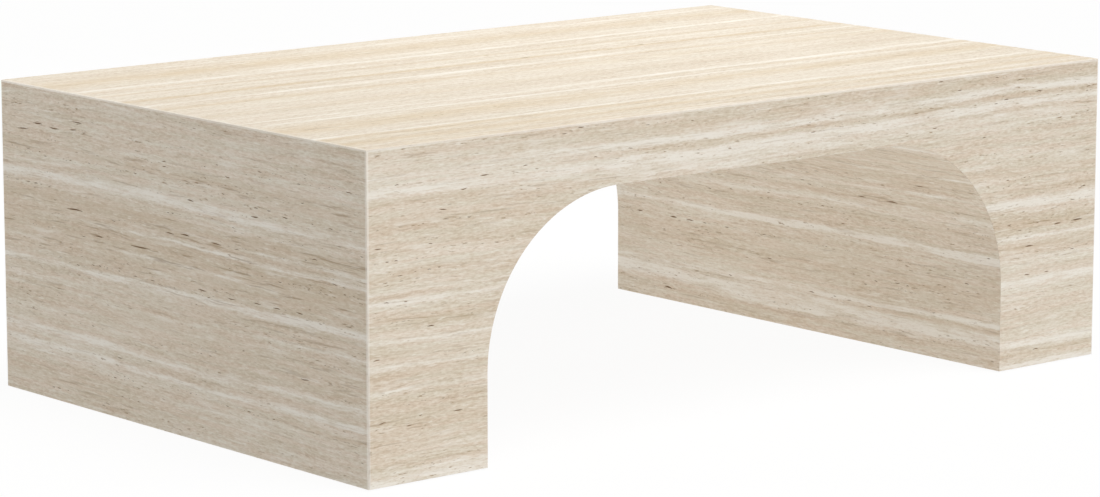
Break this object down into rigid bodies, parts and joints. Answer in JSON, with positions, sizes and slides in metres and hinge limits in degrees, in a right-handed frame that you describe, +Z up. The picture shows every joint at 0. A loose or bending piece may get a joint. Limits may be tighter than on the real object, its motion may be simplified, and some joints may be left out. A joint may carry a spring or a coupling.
{
  "type": "coffee table",
  "caption": "Rectangular stone-clad coffee table with mitred slab edges and a wide flat-crowned arch cut through from front to back.",
  "frame": {"origin": "on the floor under the middle of the table", "axes": "+X along the table's length, +Y from the front face to the back face along the arch, +Z up"},
  "size_m": [1.22, 0.762, 0.4],
  "materials": {
    "travertine": "satin",
    "plywood": "matte",
    "glide_plastic": "matte",
    "screw_steel": "satin"
  },
  "bodies": {
    "root": {"top_slab": "travertine", "front_fascia": "travertine", "back_fascia": "travertine", "left_end_slab": "travertine", "right_end_slab": "travertine", "soffit_slab": "travertine", "left_arch_curve": "travertine", "right_arch_curve": "travertine", "left_leg_liner": "travertine", "right_leg_liner": "travertine", "top_board": "plywood", "soffit_board": "plywood", "front_rib": "plywood", "front_inner_rib": "plywood", "back_inner_rib": "plywood", "back_rib": "plywood", "left_end_board": "plywood", "right_end_board": "plywood", "left_curve_board": "plywood", "right_curve_board": "plywood", "left_leg_board": "plywood", "right_leg_board": "plywood", "left_base_board": "plywood", "right_base_board": "plywood", "left_leg_cleats": "plywood", "right_leg_cleats": "plywood", "floor_glides": "glide_plastic", "glide_screws": "screw_steel"}
  },
  "joints": []
}
